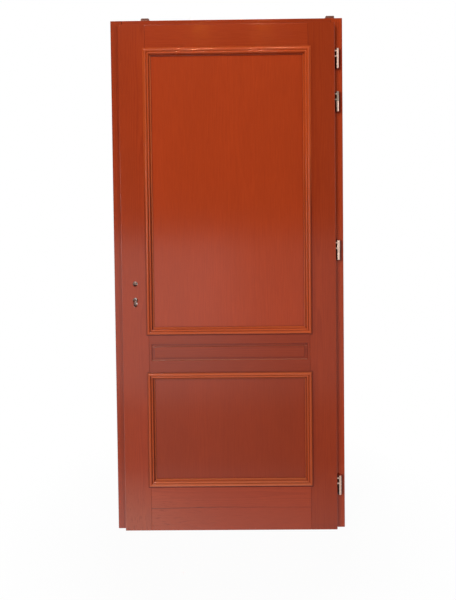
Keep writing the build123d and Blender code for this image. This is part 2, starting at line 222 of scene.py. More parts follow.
def woodGrain(tree, grain, pith):
    coords = ownCoords(tree)
    turned = place(
        tree, "ShaderNodeMapping", {"Vector": coords, "Rotation": grainTurn[grain], "Location": pith}
    ).outputs["Vector"]

    def stretched(alongGrain):
        return stretchedBy(tree, turned, (1.0, 1.0, alongGrain))

    def grainNoise(kind):
        noise = grainNoises[kind]
        return noiseOf(tree, stretched(noise["along"]), noise["scale"], noise["detail"], noise["rough"])

    # The log wanders along its length, which draws the rings out into arches
    slow = place(
        tree, "ShaderNodeTexNoise",
        {
            "Vector": stretched(growth["wanderStretch"]),
            "Scale": growth["wanderScale"],
            "Detail": growth["wanderDetail"],
        },
    ).outputs["Color"]
    centred = vectorMathOf(tree, "SUBTRACT", slow, (0.5, 0.5, 0.5))
    wander = (growth["wander"],) * 3
    wandering = vectorMathOf(tree, "MULTIPLY_ADD", centred, wander, stretched(growth["ringStretch"]))
    rings = place(
        tree, "ShaderNodeTexWave",
        {
            "Vector": wandering,
            "Scale": growth["ringScale"],
            "Distortion": growth["ringDistortion"],
            "Detail": growth["ringDetail"],
            "Detail Scale": growth["ringDetailScale"],
        },
        wave_type="RINGS", rings_direction="Z", wave_profile="SAW",
    ).outputs["Fac"]
    ringRamp = place(tree, "ShaderNodeValToRGB", {"Fac": rings})
    stops = ringRamp.color_ramp.elements
    stops[0].position = growth["paleUntil"]
    stops[0].color = (0, 0, 0, 1)
    stops[1].position = growth["darkest"]
    stops[1].color = (1, 1, 1, 1)
    stops.new(1.0).color = (growth["ringEnd"], growth["ringEnd"], growth["ringEnd"], 1)
    return {
        "axes": axesOf(tree, coords),
        "lateWood": ringRamp.outputs["Color"],
        "fibre": grainNoise("fibre"),
        "fleck": grainNoise("fleck"),
        "cloud": grainNoise("cloud"),
        "noiseOfKind": grainNoise,
    }


def stainedColour(tree, wood, look):
    ringStrength = (growth["faintRings"] * look["rings"], look["rings"])
    ringShare = product(
        tree, wood["lateWood"], remap(tree, wood["cloud"], growth["cloudsOnRings"], ringStrength)
    )
    fibreShare = remap(tree, wood["fibre"], growth["fibreRange"], (0.0, growth["fibreShare"]))
    share = mathOf(tree, "ADD", ringShare, fibreShare)
    colour = blendColour(tree, share, look["light"], look["dark"])
    tone = remap(tree, wood["cloud"], noiseRange, growth["tone"])
    return blendColour(tree, 1.0, colour, greyOf(tree, tone), "MULTIPLY")


glueLine = {  # between the two boards of the bottom rail, open most at the lock side
    "height": 0.103,
    "cloudWaver": 0.024,
    "fleckWaver": 0.006,
    "waverMiddle": -0.015,
    "width": (0.0006, 0.0028),
    "across": (-0.62, -0.30),
    "share": (0.85, 0.40),
}


def withGlueLine(tree, wood, colour):
    line = glueLine
    waver = mathOf(tree, "MULTIPLY_ADD", wood["fleck"], line["fleckWaver"], line["waverMiddle"])
    waver = mathOf(tree, "MULTIPLY_ADD", wood["cloud"], line["cloudWaver"], waver)
    above = mathOf(tree, "SUBTRACT", wood["axes"]["Z"], line["height"])
    away = mathOf(tree, "ABSOLUTE", mathOf(tree, "ADD", above, waver))
    opened = remap(tree, wood["axes"]["X"], line["across"], line["share"])
    share = product(tree, remap(tree, away, line["width"], falling), opened)
    return blendColour(tree, share, colour, stain["darkJointAndShade"])


footPaling = {  # the foot of the leaf is paler and pinker, most at the lock side, with fine dark cracks there
    "height": (0.05, 0.27),
    "across": (-0.93, -0.50),
    "share": (0.34, 0.05),
    "cloudy": (0.7, 1.2),
    "crackRange": (0.60, 0.72),
    "crackShare": 0.95,
}


def withPalerFoot(tree, wood, colour):
    paling = footPaling
    lowDown = remap(tree, wood["axes"]["Z"], paling["height"], falling)
    zone = product(tree, lowDown, remap(tree, wood["axes"]["X"], paling["across"], paling["share"]))
    paleShare = product(tree, zone, remap(tree, wood["cloud"], noiseRange, paling["cloudy"]))
    colour = blendColour(tree, paleShare, colour, stain["paled"])
    darkest = paling["crackShare"] / paling["share"][0]
    cracks = remap(tree, wood["noiseOfKind"]("crack"), paling["crackRange"], (0.0, darkest))
    return blendColour(tree, product(tree, cracks, zone), colour, stain["darkJointAndShade"])


# Painted shadow: a soft dark box on the face, standing in for a shadow cast on it.
def withPaintedShadow(tree, wood, colour, patch):
    front, soft = patch["front"], patch["soft"]
    spans = [remap(tree, wood["axes"]["Y"], (front, front + soft), falling)]
    for axis in ("X", "Z"):
        away = awayFrom(tree, wood["axes"][axis], patch["middle" + axis])
        spans.append(remap(tree, away, around(patch["half" + axis], soft), falling))
    return blendColour(tree, product(tree, patch["share"], *spans), colour, stain["darkJointAndShade"])


# Painted shade in the corners: the colour darkens where ambient occlusion finds a corner, by how open it is
# within its reach.
paintedCornerShade = {"reach": 0.010, "open": (0.45, 0.95), "share": 0.85}
cornerShadeFades = {"offFloor": (0.01, 0.06), "paleSoft": 0.12}


# The painted corner shade, and the painted shadow along moulding edges, can be weaker above a given height.
def palerAbove(tree, wood, corners):
    if "paleAbove" not in corners:
        return 1.0
    between = around(corners["paleAbove"], cornerShadeFades["paleSoft"])
    return remap(tree, wood["axes"]["Z"], between, (1.0, corners["topShare"]))


# Painted shade: darker colour in corners and recesses, kept off the floor.
def withPaintedCornerShade(tree, wood, colour, corners, paler):
    openness = place(
        tree, "ShaderNodeAmbientOcclusion", {"Distance": corners["reach"]},
        samples=cornerSamples, only_local=False,
    ).outputs["AO"]
    share = remap(tree, openness, corners["open"], (corners["share"], 0.0))
    offFloor = remap(tree, wood["axes"]["Z"], cornerShadeFades["offFloor"], rising)
    return blendColour(tree, product(tree, share, offFloor, paler), colour, stain["darkJointAndShade"])


# Painted highlight along the bottom of a routed groove.
def withGrooveHighlight(tree, wood, colour, groove):  # light caught along the bottom of a routed groove
    away = awayFrom(tree, wood["axes"]["Z"], groove["at"])
    share = remap(tree, away, groove["width"], (groove["share"], 0.0))
    belowFace = remap(tree, wood["axes"]["Y"], groove["shallow"], rising)
    aboveCore = remap(tree, wood["axes"]["Y"], groove["deep"], falling)
    return blendColour(tree, product(tree, share, belowFace, aboveCore), colour, stain["paled"])


# A band of colour along a line: the mouldings use it for painted shadow along the outer edge, and at the
# foot for a painted highlight, which is a painted shadow on some sides.
def withEdge(tree, wood, colour, edge, paler):
    away = awayFrom(tree, wood["axes"][edge["axis"]], edge["at"])
    share = remap(tree, away, edge["band"], (edge["share"], 0.0))
    if edge["fades"]:
        share = product(tree, share, paler)
    return blendColour(tree, share, colour, stain[edge["stain"]])


# Lighter along rounded arrises, in patches: partly real wear, partly a painted highlight where edges catch
# the light.
def withWornAndGlintingArrises(tree, wood, colour, softNormal):
    trueNormal = place(tree, "ShaderNodeNewGeometry").outputs["True Normal"]
    facing = vectorMathOf(tree, "DOT_PRODUCT", softNormal, trueNormal, result="Value")
    turnedAway = remap(tree, facing, arrisWearAndGlint["facing"], (0.0, arrisWearAndGlint["share"]))
    patchy = remap(tree, wood["fleck"], arrisWearAndGlint["fleckRange"], arrisWearAndGlint["patchy"])
    return blendColour(tree, product(tree, turnedAway, patchy), colour, stain["wornAndLitEdge"])


def addVarnish(tree, shader, wood, softNormal, coatWeight):
    height = mathOf(tree, "MULTIPLY", wood["fibre"], varnish["fibreRelief"])
    height = mathOf(tree, "MULTIPLY_ADD", wood["lateWood"], varnish["ringRelief"], height)
    height = mathOf(tree, "MULTIPLY_ADD", wood["fleck"], varnish["fleckRelief"], height)
    for socket, strength in (("Normal", varnish["bump"]), ("Coat Normal", varnish["coatBump"])):
        bump = bumpOf(tree, height, strength, varnish["bumpDepth"], softNormal)
        tree.links.new(bump, shader.inputs[socket])
    roughness = remap(tree, wood["fleck"], noiseRange, varnish["roughness"])
    tree.links.new(roughness, shader.inputs["Roughness"])
    shader.inputs["Specular IOR Level"].default_value = varnish["specular"]
    shader.inputs["Coat Weight"].default_value = coatWeight
    shader.inputs["Coat Roughness"].default_value = varnish["coatRoughness"]


def woodMaterial(name, look):
    material, tree, shader = newMaterial(name)
    wood = woodGrain(tree, look["grain"], look["pith"])
    colour = stainedColour(tree, wood, look)
    if look.get("glued"):
        colour = withGlueLine(tree, wood, colour)
    if look.get("paled"):
        colour = withPalerFoot(tree, wood, colour)
    for patch in look.get("patches", ()):
        colour = withPaintedShadow(tree, wood, colour, patch)
    corners = look.get("corners", paintedCornerShade)
    paler = palerAbove(tree, wood, corners)
    colour = withPaintedCornerShade(tree, wood, colour, corners, paler)
    for groove in look.get("grooves", ()):
        colour = withGrooveHighlight(tree, wood, colour, groove)
    for edge in look.get("edges", ()):
        colour = withEdge(tree, wood, colour, edge, paler)
    softNormal = softEdges(tree, varnish["edgeRadius"])
    colour = withWornAndGlintingArrises(tree, wood, colour, softNormal)
    tree.links.new(colour, shader.inputs["Base Color"])
    addVarnish(tree, shader, wood, softNormal, look.get("coatWeight", varnish["coatWeight"]))
    return material


hingeNames = ("bottom", "middle", "upper", "top")
# Painted shadow of each hinge on the jamb, to the right of and below its barrel.
hingeShadowPaint = {"left": -0.040, "right": -0.004, "below": 0.007, "back": 0.015, "soft": 0.0035, "share": 0.75}


def paintedHingeShadows():
    patches = []
    for hingeName in hingeNames:
        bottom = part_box(hingeName + "_hinge_jamb_half")[0].z - hingeShadowPaint["below"]
        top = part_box(hingeName + "_hinge_leaf_half")[1].z
        patches.append({
            "middleX": (hingeShadowPaint["left"] + hingeShadowPaint["right"]) / 2,
            "halfX": (hingeShadowPaint["right"] - hingeShadowPaint["left"]) / 2,
            "middleZ": (bottom + top) / 2,
            "halfZ": (top - bottom) / 2,
            "front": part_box("hinge_jamb")[0].y + hingeShadowPaint["back"],
            "soft": hingeShadowPaint["soft"],
            "share": hingeShadowPaint["share"],
        })
    return patches


# Where the painted groove highlights lie and how strong they are.
fieldGrooveHighlight = {  # round the routed field of the middle rail, with depths below the leaf's face
    "fromMiddle": 0.029,
    "width": (0.0010, 0.0026),
    "shallow": (0.0008, 0.0016),
    "deep": (0.006, 0.008),
    "upperShare": 0.40,
    "lowerShare": 1.00,
}


def fieldGrooveHighlights():
    look = fieldGrooveHighlight
    low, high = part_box("middle_rail")
    middle = (low.z + high.z) / 2
    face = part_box("lock_stile")[0].y
    common = {"width": look["width"]}
    for limit in ("shallow", "deep"):
        common[limit] = [face + depth for depth in look[limit]]
    return [
        dict(common, at=middle + look["fromMiddle"], share=look["upperShare"]),
        dict(common, at=middle - look["fromMiddle"], share=look["lowerShare"]),
    ]


# The way of the grain, the place of the pith in metres, the depth of the stain, which per member is partly
# real and partly painted light and shade, and the strength of the rings
woodMembers = {
    "hinge_jamb": {
        "grain": "Z", "pith": (0.09, 0.16, 0.0), "depth": 1.06, "rings": 0.45, "patches": paintedHingeShadows(),
        "corners": {"reach": 0.030, "open": (0.30, 0.58), "share": 0.90},
    },
    "lock_jamb": {"grain": "Z", "pith": (0.93, 0.12, 0.4), "depth": 0.90, "rings": 0.45},
    "frame_head": {"grain": "X", "pith": (2.12, 0.13, 0.0), "depth": 0.92, "rings": 0.45},
    "hinge_stile": {
        "grain": "Z", "pith": (0.11, 0.11, 0.9), "depth": 0.87, "rings": 0.40,
        "corners": {"reach": 0.035, "open": (0.80, 1.0), "share": 0.75},
    },
    "lock_stile": {"grain": "Z", "pith": (0.85, 0.14, 0.2), "depth": 0.95, "rings": 0.40, "paled": True},
    "top_rail": {"grain": "X", "pith": (2.05, 0.11, 0.3), "depth": 0.95, "rings": 0.40},
    "middle_rail": {
        "grain": "X", "pith": (0.80, 0.10, 0.7), "depth": 0.78, "rings": 0.55, "grooves": fieldGrooveHighlights(),
    },
    "bottom_rail": {
        "grain": "X", "pith": (0.16, 0.12, 0.5), "depth": 1.00, "rings": 0.45, "glued": True, "paled": True,
    },
    "upper_panel": {"grain": "Z", "pith": (0.42, 0.34, 0.0), "depth": 1.05, "rings": 0.12},
    "lower_panel": {"grain": "Z", "pith": (0.55, 0.30, 1.3), "depth": 0.80, "rings": 0.14},
}


def deepened(colour, depth):
    return tuple(part * depth for part in colour)


for nodeName, member in woodMembers.items():
    shades = {tone: deepened(stain[tone], member["depth"]) for tone in ("light", "dark")}
    dress(nodeName, woodMaterial(nodeName + "Wood", {**member, **shades}))


# Mouldings, by side, as the light falls on each: how deep the colour is, how much painted reflection pales
# it, how dark the painted shade in the quirks and the painted shadow along the outer edge are, and how light
# the painted highlight at the foot on the panel is; a foot below zero is a painted shadow instead

mouldingLooks = {
    "upper_lock_side": {"depth": 1.00, "paintedReflection": 0.00, "quirkShade": 0.85, "edge": 0.60, "foot": 0.45},
    "upper_hinge_side": {"depth": 1.00, "paintedReflection": 0.00, "quirkShade": 0.45, "edge": 0.85, "foot": 0.10},
    "upper_top": {"depth": 1.02, "paintedReflection": 0.00, "quirkShade": 0.35, "edge": 0.00, "foot": -0.75},
    "upper_bottom": {"depth": 1.05, "paintedReflection": 0.15, "quirkShade": 0.30, "edge": 0.95, "foot": 0.20},
    "lower_lock_side": {"depth": 0.95, "paintedReflection": 0.05, "quirkShade": 0.85, "edge": 0.45, "foot": 0.20},
    "lower_hinge_side": {"depth": 0.95, "paintedReflection": 0.05, "quirkShade": 0.40, "edge": 0.85, "foot": 0.00},
    "lower_top": {"depth": 1.05, "paintedReflection": 0.25, "quirkShade": 0.30, "edge": 0.80, "foot": -0.35},
    "lower_bottom": {"depth": 1.05, "paintedReflection": 0.50, "quirkShade": 0.30, "edge": 1.00, "foot": 0.20},
}
uprightMoulding = {"grain": "Z", "pith": (0.3, 0.2, 0.0), "rings": 0.30}
levelMoulding = {"grain": "X", "pith": (0.2, 0.2, 0.0), "rings": 0.15}
# Above this height the painted shade in the quirks and along the outer edge is weaker.
paleQuirksAbove = 1.50
topQuirks = 0.10
# Widths of the painted bands: shadow along the outer edge, highlight at the foot, shadow at the foot.
mouldingBands = {"outer": (0.0030, 0.0062), "foot": (0.0034, 0.0050), "darkFoot": (0.0060, 0.0085)}


def mixed(first, second, share):
    return tuple(a + (b - a) * share for a, b in zip(first, second))


def mouldingMaterial(part, side):
    look = mouldingLooks[part + "_" + side]
    low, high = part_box(part + "_front_" + side + "_moulding")
    upright = side in ("lock_side", "hinge_side")
    axis, number = ("X", 0) if upright else ("Z", 2)
    outerIsHigh = side in ("hinge_side", "top")
    outer, inner = (high[number], low[number]) if outerIsHigh else (low[number], high[number])
    darkFoot = look["foot"] < 0
    # Painted shadow along the outer edge, and at the foot a painted highlight, which becomes a painted
    # shadow where foot is below zero.
    outerEdge = {
        "axis": axis, "at": outer, "band": mouldingBands["outer"],
        "share": look["edge"], "stain": "darkJointAndShade", "fades": True,
    }
    footEdge = {
        "axis": axis, "at": inner, "band": mouldingBands["darkFoot" if darkFoot else "foot"],
        "share": abs(look["foot"]), "stain": "darkJointAndShade" if darkFoot else "wornAndLitEdge", "fades": False,
    }
    shades = {
        tone: mixed(deepened(stain[source], look["depth"]), stain["paintedReflection"], look["paintedReflection"])
        for tone, source in (("light", "mouldingLight"), ("dark", "mouldingDark"))
    }
    name = part + "".join(word.title() for word in side.split("_")) + "MouldingWood"
    return woodMaterial(name, {
        **(uprightMoulding if upright else levelMoulding),
        **shades,
        "corners": dict(paintedCornerShade, share=look["quirkShade"], paleAbove=paleQuirksAbove, topShare=topQuirks),
        "edges": (outerEdge, footEdge),
        "coatWeight": varnish["mouldingCoatWeight"],
    })


for part in ("upper", "lower"):
    for side in ("lock_side", "hinge_side", "top", "bottom"):
        sideWood = mouldingMaterial(part, side)
        for face in ("front", "back"):
            dress(part + "_" + face + "_" + side + "_moulding", sideWood)
print("Wood dressed")


# Metals

metalLooks = {
    "brightNickel": {
        "colour": (1.00, 0.70, 0.56), "stainColour": (0.60, 0.42, 0.33),
        "roughness": 0.26, "stained": 0.18, "shadedSide": 0.92,
    },
    "dulledNickel": {
        "colour": (0.48, 0.38, 0.30), "stainColour": (0.20, 0.12, 0.08),
        "roughness": 0.38, "stained": 0.7, "shadedSide": 0.92,
    },
    "zincPlate": {
        "colour": (0.62, 0.62, 0.60), "stainColour": (0.36, 0.34, 0.30), "roughness": 0.34, "stained": 0.4,
    },
    # The lock case and the follower are lighter than their steel would be: painted light, for the little
    # light that reaches into the holes.
    "dullCase": {
        "colour": (0.80, 0.66, 0.58), "stainColour": (0.40, 0.30, 0.25), "roughness": 0.34, "stained": 0.5,
    },
    "followerSteel": {
        "colour": (0.86, 0.68, 0.58), "stainColour": (0.36, 0.26, 0.20), "roughness": 0.30, "stained": 0.35,
    },
}
metalSurface = {
    "brushStretch": (0.05, 0.05, 1.0),
    "brushScale": 3200.0,
    "smudgeScale": 95.0,
    "smudgeDetail": 4.0,
    "noiseRough": 0.6,
    "stainRange": (0.42, 0.68),
    "smudgeShare": 0.6,  # of what roughens it, and the brushing's share
    "brushShare": 0.4,
    "smoother": 0.06,
    "rougher": 0.12,
    "edgeRadius": 0.0004,
    "bump": 0.25,
    "bumpDepth": 0.00006,
}
# Painted shade on hinge metal: faces turned towards the leaf's edge are darkened, for the dark they mirror
# there.
knuckleShade = {"colour": (0.030, 0.010, 0.006), "facing": (-0.75, -0.15)}  # on what faces the leaf's edge


def metalMaterial(name, look):
    surface = metalSurface
    material, tree, shader = newMaterial(name)
    coords = ownCoords(tree)
    lines = stretchedBy(tree, coords, surface["brushStretch"])
    brushed = noiseOf(tree, lines, surface["brushScale"], rough=surface["noiseRough"])
    smudge = noiseOf(tree, coords, surface["smudgeScale"], surface["smudgeDetail"], surface["noiseRough"])
    share = product(tree, remap(tree, smudge, surface["stainRange"], rising), look["stained"])
    colour = blendColour(tree, share, look["colour"], look["stainColour"])
    # Painted shade on the side that faces the leaf's edge.
    if "shadedSide" in look:
        ownNormal = place(tree, "ShaderNodeTexCoord").outputs["Normal"]
        shadeShare = remap(tree, axesOf(tree, ownNormal)["X"], knuckleShade["facing"], (look["shadedSide"], 0.0))
        colour = blendColour(tree, shadeShare, colour, knuckleShade["colour"])
    tree.links.new(colour, shader.inputs["Base Color"])
    shader.inputs["Metallic"].default_value = 1.0
    uneven = mathOf(tree, "MULTIPLY", brushed, surface["brushShare"])
    uneven = mathOf(tree, "MULTIPLY_ADD", smudge, surface["smudgeShare"], uneven)
    limits = (look["roughness"] - surface["smoother"], look["roughness"] + surface["rougher"])
    tree.links.new(remap(tree, uneven, noiseRange, limits), shader.inputs["Roughness"])
    softNormal = softEdges(tree, surface["edgeRadius"])
    bump = bumpOf(tree, brushed, surface["bump"], surface["bumpDepth"], softNormal)
    tree.links.new(bump, shader.inputs["Normal"])
    return material


metals = {name: metalMaterial(name, look) for name, look in metalLooks.items()}
for hingeName in hingeNames:
    dress(hingeName + "_hinge_jamb_half", metals["brightNickel"])
    dress(hingeName + "_hinge_leaf_half", metals["dulledNickel" if hingeName == "upper" else "brightNickel"])
for nodeName in ("strike_plate", "faceplate", "latch_bolt", "dead_bolt"):
    dress(nodeName, metals["zincPlate"])
dress("lock_case", metals["dullCase"])
dress("follower", metals["followerSteel"])


# Lugs on the head, dull brown

lugLook = {
    "light": (0.240, 0.064, 0.032),
    "dark": (0.100, 0.026, 0.014),
    "roughness": 0.62,
    "roughnessSpread": 0.1,
    "grainStretch": (0.15, 1.0, 1.0),
    "streakScale": 420.0,
    "streakRough": 0.6,
    "streakShare": 0.6,
    "blotchScale": 70.0,
    "blotchShare": 0.5,
    "detail": 3.0,
    "bump": 0.3,
    "bumpDepth": 0.0003,
}


def lugMaterial():
    look = lugLook
    material, tree, shader = newMaterial("lugBrown")
    coords = ownCoords(tree)
    grain = stretchedBy(tree, coords, look["grainStretch"])
    streak = noiseOf(tree, grain, look["streakScale"], look["detail"], look["streakRough"])
    blotch = noiseOf(tree, coords, look["blotchScale"], look["detail"])
    share = mathOf(tree, "MULTIPLY", blotch, look["blotchShare"])
    share = mathOf(tree, "MULTIPLY_ADD", streak, look["streakShare"], share)
    tree.links.new(blendColour(tree, share, look["light"], look["dark"]), shader.inputs["Base Color"])
    tree.links.new(bumpOf(tree, streak, look["bump"], look["bumpDepth"]), shader.inputs["Normal"])
    roughness = remap(tree, blotch, noiseRange, around(look["roughness"], look["roughnessSpread"]))
    tree.links.new(roughness, shader.inputs["Roughness"])
    return material


lugBrown = lugMaterial()
dress("lock_side_lug", lugBrown)
dress("hinge_side_lug", lugBrown)
print("Metals and lugs dressed")


# Turned shapes: a profile of (radius, height) spun round Z

quarterTurn = math.pi / 2


def turnedMesh(name, profile, sides):
    built = bmesh.new()
    rings = []
    for radius, height in profile:
        if radius == 0:
            rings.append([built.verts.new((0, 0, height))])
            continue
        angles = [2 * math.pi * step / sides for step in range(sides)]
        rings.append([built.verts.new((radius * math.cos(a), radius * math.sin(a), height)) for a in angles])
    for lower, upper in zip(rings, rings[1:]):
        for step in range(sides):
            follow = (step + 1) % sides
            corners = [
                lower[step % len(lower)], lower[follow % len(lower)],
                upper[follow % len(upper)], upper[step % len(upper)],
            ]
            built.faces.new(list(dict.fromkeys(corners)))  # at a point, a triangle
    bmesh.ops.recalc_face_normals(built, faces=built.faces)
    mesh = bpy.data.meshes.new(name)
    built.to_mesh(mesh)
    built.free()
    return mesh


def shadeByAngle(mesh, degrees):
    mesh.shade_smooth()
    mesh.set_sharp_from_angle(angle=math.radians(degrees))


def addObject(name, mesh):
    thing = bpy.data.objects.new(name, mesh)
    scene.collection.objects.link(thing)
    return thing


def plainMesh(thing, name):
    evaluated = thing.evaluated_get(bpy.context.evaluated_depsgraph_get())
    mesh = bpy.data.meshes.new_from_object(evaluated)
    mesh.name = name
    return mesh


# One tree sets a small part at every point of a mesh

turnSeed = 7


def repeatTree():
    tree = bpy.data.node_groups.new("setAtPoints", "GeometryNodeTree")
    for label, kind in (
        ("Points", "NodeSocketGeometry"),
        ("Part", "NodeSocketObject"),
        ("Turn", "NodeSocketVector"),
        ("Turn Spread", "NodeSocketFloat"),
        ("Size", "NodeSocketFloat"),
        ("Finish", "NodeSocketMaterial"),
    ):
        tree.interface.new_socket(label, in_out="INPUT", socket_type=kind)
    tree.interface.new_socket("Geometry", in_out="OUTPUT", socket_type="NodeSocketGeometry")
    start = tree.nodes.new("NodeGroupInput")
    end = tree.nodes.new("NodeGroupOutput")
    part = place(
        tree, "GeometryNodeObjectInfo", {"Object": start.outputs["Part"]}, transform_space="ORIGINAL"
    )
    turn = place(tree, "FunctionNodeEulerToRotation", {"Euler": start.outputs["Turn"]})
    random = place(tree, "FunctionNodeRandomValue", data_type="FLOAT")
    random.inputs[2].default_value = 0.0
    random.inputs["Seed"].default_value = turnSeed
    tree.links.new(start.outputs["Turn Spread"], random.inputs[3])
    ownTurn = place(tree, "ShaderNodeCombineXYZ", {"Z": random.outputs[1]})
    spin = place(tree, "FunctionNodeEulerToRotation", {"Euler": ownTurn.outputs["Vector"]})
    both = place(
        tree, "FunctionNodeRotateRotation",
        {"Rotation": turn.outputs["Rotation"], "Rotate By": spin.outputs["Rotation"]},
        rotation_space="LOCAL",
    )
    setDown = place(tree, "GeometryNodeInstanceOnPoints", {
        "Points": start.outputs["Points"],
        "Instance": part.outputs["Geometry"],
        "Rotation": both.outputs["Rotation"],
        "Scale": start.outputs["Size"],
    })
    real = place(tree, "GeometryNodeRealizeInstances", {"Geometry": setDown.outputs["Instances"]})
    finish = place(tree, "GeometryNodeSetMaterial", {
        "Geometry": real.outputs["Geometry"],
        "Material": start.outputs["Finish"],
    })
    tree.links.new(finish.outputs["Geometry"], end.inputs["Geometry"])
    return tree


pointTree = repeatTree()


def socketId(tree, label):
    for item in tree.interface.items_tree:
        if item.item_type == "SOCKET" and item.in_out == "INPUT" and item.name == label:
            return item.identifier


def setAtPoints(name, points, part, finish, turn=(0.0, 0.0, 0.0), turnSpread=0.0):
    mesh = bpy.data.meshes.new(name + "Points")
    mesh.from_pydata(points, [], [])
    holder = addObject(name + "Points", mesh)
    modifier = holder.modifiers.new("set", "NODES")
    modifier.node_group = pointTree
    inputs = {"Part": part, "Turn": turn, "Turn Spread": turnSpread, "Size": 1.0, "Finish": finish}
    for label, value in inputs.items():
        modifier[socketId(pointTree, label)] = value
    made = addObject(name, plainMesh(holder, name))
    holder.modifiers.remove(modifier)
    bpy.data.objects.remove(holder)
    return made


# Cross-head countersunk screws of the faceplate and the strike plate

screwSizes = {
    "headRadius": 0.0042,
    "headRise": 0.00035,
    "headDepth": 0.0012,
    "edgeDrop": 0.0002,
    "domePoints": ((0.55, 0.95), (0.9, 0.6)),  # as shares of the radius and of the rise
    "crossLength": 0.0046,
    "crossWidth": 0.0009,
    "crossDepth": 0.0010,
    "fromPlateEnd": 0.0115,
    "sides": 24,
    "sharpAngle": 35,
}


def screwProfile():
    radius, rise, depth = (screwSizes[size] for size in ("headRadius", "headRise", "headDepth"))
    dome = [(radius * outwards, rise * upwards) for outwards, upwards in screwSizes["domePoints"]]
    return [(0, rise), *dome, (radius, screwSizes["edgeDrop"]), (radius, -depth), (0, -depth)]


def screwHead():
    size = screwSizes
    head = addObject("screwHead", turnedMesh("screwHead", screwProfile(), size["sides"]))
    cutter = bmesh.new()
    toTop = Matrix.Translation((0, 0, size["headRise"]))
    bar = Matrix.Diagonal((size["crossLength"], size["crossWidth"], size["crossDepth"] * 2, 1))
    for turn in (0, quarterTurn):
        bmesh.ops.create_cube(cutter, size=1.0, matrix=toTop @ (Matrix.Rotation(turn, 4, "Z") @ bar))
    cutMesh = bpy.data.meshes.new("crossCutter")
    cutter.to_mesh(cutMesh)
    cutter.free()
    cross = addObject("crossCutter", cutMesh)
    cut = head.modifiers.new("cross", "BOOLEAN")
    cut.operation = "DIFFERENCE"
    cut.object = cross
    cut.solver = "EXACT"
    cut.use_self = True
    mesh = plainMesh(head, "screwHeadCut")
    for spare in (head, cross):
        bpy.data.objects.remove(spare)
    shadeByAngle(mesh, size["sharpAngle"])
    return addObject("screwHeadCut", mesh)


def platePoints(nodeName, faceX):
    low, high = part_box(nodeName)
    middleY = (low.y + high.y) / 2
    inset = screwSizes["fromPlateEnd"]
    return [(faceX, middleY, low.z + inset), (faceX, middleY, high.z - inset)]


screwPart = screwHead()
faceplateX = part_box("faceplate")[0].x
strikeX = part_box("strike_plate")[1].x
leafScrews = setAtPoints(
    "faceplate_screws", platePoints("faceplate", faceplateX), screwPart, metals["zincPlate"],
    (0.0, -quarterTurn, 0.0), quarterTurn,
)
frameScrews = setAtPoints(
    "strike_plate_screws", platePoints("strike_plate", strikeX), screwPart, metals["zincPlate"],
    (0.0, quarterTurn, 0.0), quarterTurn,
)
bpy.data.objects.remove(screwPart)
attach(leafScrews, "leaf")
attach(frameScrews, "frame")
print("Plate screws set")


# Hinge barrels: domed caps on their ends and a washer at the seam

barrelTrim = {
    "knuckleRadius": 0.0070,
    "lowerKnuckleRadius": 0.0067,
    "capInset": 0.0002,
    "capHeight": 0.0014,
    "capSkirt": 0.0004,
    "capSteps": 6,
    "washerInner": 0.0042,
    "washerOuter": 0.0073,
    "washerThick": 0.00036,
    "washerDrop": 0.0002,  # below the upper knuckle's end
    "sides": 32,
    "sharpAngle": 40,
}


def capProfile(radius):
    height, skirt, steps = (barrelTrim[size] for size in ("capHeight", "capSkirt", "capSteps"))
    dome = [
        (radius * math.cos(quarterTurn * step / steps), height * math.sin(quarterTurn * step / steps))
        for step in range(steps)
    ]
    return [(0, -skirt), (radius, -skirt), *dome, (0, height)]


def washerProfile():
    half = barrelTrim["washerThick"] / 2
    inner, outer = barrelTrim["washerInner"], barrelTrim["washerOuter"]
    return [(inner, -half), (outer, -half), (outer, half), (inner, half), (inner, -half)]


def trimPart(name, profile):
    mesh = turnedMesh(name, profile, barrelTrim["sides"])
    shadeByAngle(mesh, barrelTrim["sharpAngle"])
    return addObject(name, mesh)


def barrelPlaces():
    places = {"top": [], "seam": [], "bottom": []}
    for hingeName in hingeNames:
        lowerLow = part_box(hingeName + "_hinge_jamb_half")[0]
        upperLow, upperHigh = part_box(hingeName + "_hinge_leaf_half")
        axisX = upperHigh.x - barrelTrim["knuckleRadius"]
        axisY = lowerLow.y + barrelTrim["lowerKnuckleRadius"]
        places["top"].append((axisX, axisY, upperHigh.z))
        places["seam"].append((axisX, axisY, upperLow.z - barrelTrim["washerDrop"]))
        places["bottom"].append((axisX, axisY, lowerLow.z))
    return places


barrels = barrelPlaces()
topCap = trimPart("topCapPart", capProfile(barrelTrim["knuckleRadius"] - barrelTrim["capInset"]))
bottomCap = trimPart("bottomCapPart", capProfile(barrelTrim["lowerKnuckleRadius"] - barrelTrim["capInset"]))
washer = trimPart("washerPart", washerProfile())
topCaps = setAtPoints("hinge_top_caps", barrels["top"], topCap, metals["brightNickel"])
bottomCaps = setAtPoints(
    "hinge_bottom_caps", barrels["bottom"], bottomCap, metals["brightNickel"], (math.pi, 0.0, 0.0)
)
washers = setAtPoints("hinge_washers", barrels["seam"], washer, metals["brightNickel"])
for spare in (topCap, bottomCap, washer):
    bpy.data.objects.remove(spare)
for trim, body in ((topCaps, "leaf"), (bottomCaps, "frame"), (washers, "frame")):
    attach(trim, body)
print("Hinge trim set")


# Floor: white to the camera but for the shadow on it, and pale in the varnish, greyer in front of the door

floorLook = {
    "size": 40.0,
    "colour": 0.80,
    "colourSpread": 0.01,
    "patchScale": 1.5,
    "roughness": 0.9,
    "specular": 0.1,
    "white": 1.0,
    "doorMiddle": (-0.49, 0.0, 0.0),
    "shareAtDoor": 0.96,  # how much of the white is its own, at the door and past the fade
    "fade": (0.5, 1.1),
    "glossNear": 1.15,
    "glossGrey": 0.40,
    "glossFar": 0.85,
    "greyFrom": 0.35,
    "greyTo": 1.60,
    "edgeSoftness": 0.30,
    "across": (-1.0, 0.0),
    "glossSides": (1.6, 0.7),  # the lock side's share of it, and the hinge side's
}


